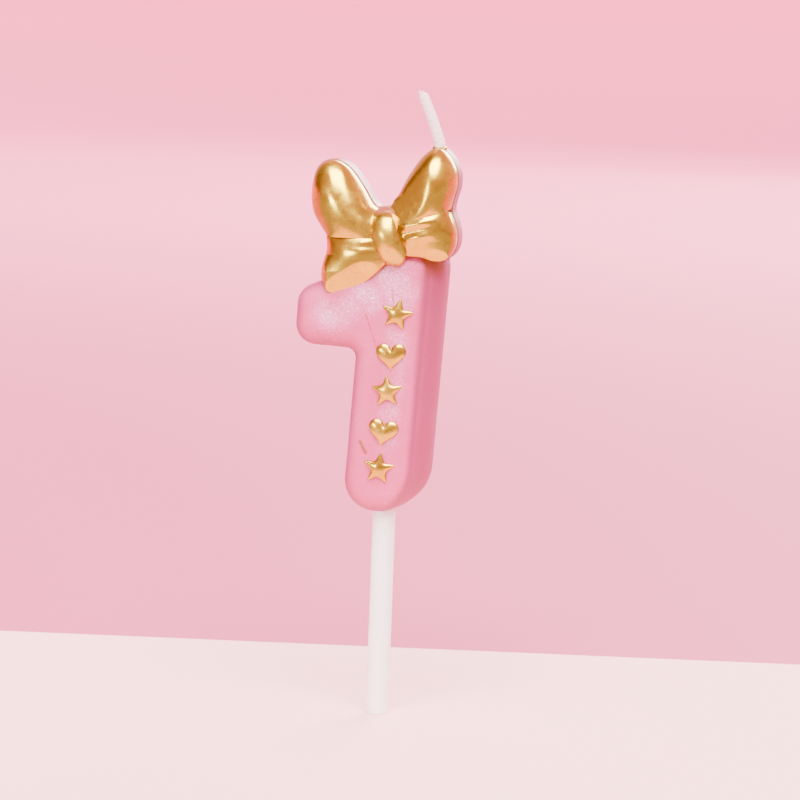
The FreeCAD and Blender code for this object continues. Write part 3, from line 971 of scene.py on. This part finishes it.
def stick_material():
    """Plain white moulded plastic, slightly waxy, with faint lengthwise drawing marks."""
    n = Nodes("white_plastic")
    tone = n.mix(n.noise(7.0, 2.0), (0.92, 0.90, 0.89), (0.94, 0.92, 0.91))
    marks = n.bump(n.noise(0.9, 2.0, 0.5, (1.0, 1.0, 0.04)), 0.10, 0.03)
    roughness = n.between(n.noise(3.0, 3.0), 0.3, 0.7, 0.30, 0.40)
    return n.set(
        Base_Color=tone, Roughness=roughness, Normal=marks, Subsurface_Weight=0.25,
        Subsurface_Radius=(1.0, 0.9, 0.85), Subsurface_Scale=0.0012, IOR=1.48,
    )


def cotton_material():
    """White cotton stiffened with wax."""
    n = Nodes("cotton")
    tone = n.mix(n.noise(0.8, 4.0), (0.88, 0.58, 0.58), (0.95, 0.72, 0.71))
    fibres = n.bump(n.noise(0.30, 4.0, 0.7, (1.0, 1.0, 0.35)), 0.5, 0.05)
    return n.set(
        Base_Color=tone, Roughness=0.62, Normal=fibres, Subsurface_Weight=0.3,
        Subsurface_Radius=(1.0, 0.85, 0.8), Subsurface_Scale=0.0008, Sheen_Weight=0.2,
    )


# ------------------------------------------------------------------------ the studio
def build_floor(bounds):
    """A wide plain floor at the foot of the stick: a near-white card, and behind it a sheet of pale pink,
    painted lighter with distance to make up for the lamps' falloff.
    """
    n = Nodes("pale_floor")
    split = n.add("ShaderNodeSeparateXYZ")
    n.link(n.place, split.inputs[0])
    turn = math.radians(CARD_TURN)
    depth = n.math("ADD", n.math("MULTIPLY", split.outputs[1], math.cos(turn)),
                   n.math("MULTIPLY", split.outputs[0], -math.sin(turn)))
    # Painted light: the pink sheet is lighter the further it lies, making up for the lamps' falloff.
    pink = n.mix(n.between(depth, 0.2, 1.6), PINK_NEAR, PINK_FAR_PAINTED_LIGHTER)
    beyond = n.between(depth, CARD_BACK * MM, (CARD_BACK + 0.8) * MM)
    front = n.between(depth, -CARD_FRONT * MM, -CARD_FADE * CARD_FRONT * MM)
    side = n.between(n.math("ABSOLUTE", split.outputs[0]), CARD_SIDE * MM, CARD_FADE * CARD_SIDE * MM)
    near = n.mix(n.math("MAXIMUM", front, side), WHITE_CARD, TABLE)
    n.set(Base_Color=n.mix(beyond, near, pink), Roughness=0.8, Specular_IOR_Level=0.2)
    count = 96
    angles = np.linspace(0, 2 * math.pi, count, endpoint=False)
    level = bounds[0][2] / MM
    rings = [(0.05, 0), (0.2, 0), (0.8, 0), (2.9, 0), (3.1, 0.02), (3.25, 0.08), (3.3, 0.2), (3.3, 0.4)]
    vertices = [(0, 0, level)]
    for reach, rise in rings:
        vertices += [(reach / MM * math.cos(a), reach / MM * math.sin(a), level + rise / MM) for a in angles]
    faces = [(0, 1 + i, 1 + (i + 1) % count) for i in range(count)]
    for k in range(len(rings) - 1):
        for i in range(count):
            j = (i + 1) % count
            a, b = 1 + k * count, 1 + (k + 1) * count
            faces.append((a + i, b + i, b + j, a + j))
    make_piece("floor", vertices, faces, n.material)


def softbox(name, aim, azimuth, elevation, width, height, light_on_face):
    """A distant white light that faces the candle, `azimuth` degrees round from the front towards +X."""
    distance = 6.0
    light = bpy.data.lights.new(name, "AREA")
    light.shape = "RECTANGLE"
    light.size = width
    light.size_y = height
    light.energy = light_on_face * math.pi ** 2 * distance ** 2
    lamp = bpy.data.objects.new(name, light)
    a, e = math.radians(azimuth), math.radians(elevation)
    offset = Vector((math.sin(a) * math.cos(e), -math.cos(a) * math.cos(e), math.sin(e))) * distance
    lamp.location = aim + offset
    lamp.rotation_euler = offset.to_track_quat("Z", "Y").to_euler()
    bpy.context.scene.collection.objects.link(lamp)


def build_surroundings():
    """A pink studio, darker towards the room in front on the left and rosy elsewhere."""
    world = bpy.data.worlds.new("pink_studio")
    world.use_nodes = True
    tree = world.node_tree
    background = tree.nodes["Background"]
    direction = tree.nodes.new("ShaderNodeTexCoord").outputs["Generated"]
    split = tree.nodes.new("ShaderNodeSeparateXYZ")
    tree.links.new(direction, split.inputs[0])
    towards_front = tree.nodes.new("ShaderNodeMath")
    towards_front.operation = "MULTIPLY"
    towards_front.inputs[1].default_value = -1.0
    tree.links.new(split.outputs[1], towards_front.inputs[0])
    angle = tree.nodes.new("ShaderNodeMath")
    angle.operation = "ARCTAN2"
    tree.links.new(split.outputs[0], angle.inputs[0])
    tree.links.new(towards_front.outputs[0], angle.inputs[1])
    turn = tree.nodes.new("ShaderNodeMapRange")
    turn.inputs["From Min"].default_value = -math.pi
    turn.inputs["From Max"].default_value = math.pi
    tree.links.new(angle.outputs[0], turn.inputs["Value"])
    ramp = tree.nodes.new("ShaderNodeValToRGB")
    tree.links.new(turn.outputs[0], ramp.inputs[0])
    elements = ramp.color_ramp.elements
    while len(elements) < len(ROOM):
        elements.new(0.5)
    for element, (degrees, colour) in zip(elements, ROOM):
        element.position = (degrees + 180) / 360
        element.color = (*colour, 1.0)
    tree.links.new(ramp.outputs[0], background.inputs["Color"])
    background.inputs["Strength"].default_value = 1.0
    bpy.context.scene.world = world


def build_camera(bounds):
    """A view a little from the right and above, tipped so that the candle leans to the right."""
    azimuth, elevation, roll = (math.radians(v) for v in (9.5, 7.5, 2.1))
    distance = 0.5
    level_reach = math.cos(elevation)
    back = Vector((math.sin(azimuth) * level_reach, -math.cos(azimuth) * level_reach, math.sin(elevation)))
    level = Vector((math.cos(azimuth), math.sin(azimuth), 0.0))
    above = back.cross(level)
    up = above * math.cos(roll) - level * math.sin(roll)
    right = level * math.cos(roll) + above * math.sin(roll)
    low, high = bounds
    aim = Vector((1.8 * MM, 3.1 * MM, (low[2] + high[2]) / 2 + 0.9 * MM))
    camera = bpy.data.objects.new("camera", bpy.data.cameras.new("camera"))
    camera.data.sensor_width = 36.0
    camera.data.lens = 116.1
    camera.data.clip_start = 0.01
    turn = Matrix((right, up, back)).transposed()
    camera.matrix_world = Matrix.Translation(aim + back * distance) @ turn.to_4x4()
    bpy.context.scene.collection.objects.link(camera)
    bpy.context.scene.camera = camera
    return aim


# ------------------------------------------------------------------------ the scene
def build_scene():
    wax = wax_material()
    gold = gold_material()
    cotton = cotton_material()
    build_wax(wax)
    build_bow(gold)
    build_charms(gold)
    build_wick(cotton)
    build_crumbs(gold)
    build_stick(stick_material())
    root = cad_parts["wick_root"]
    for spot in range(len(root.material_slots)):
        root.material_slots[spot].material = cotton

    build_floor(cad_box)
    aim = build_camera(cad_box)
    build_surroundings()
    softbox("key", aim, 10, 60, 5.0, 4.0, 5.5)
    softbox("front", aim, -31, -2, 1.2, 3.0, 2.4)
    softbox("behind", aim, 162, 24, 4.0, 3.0, 3.2)


build_scene()
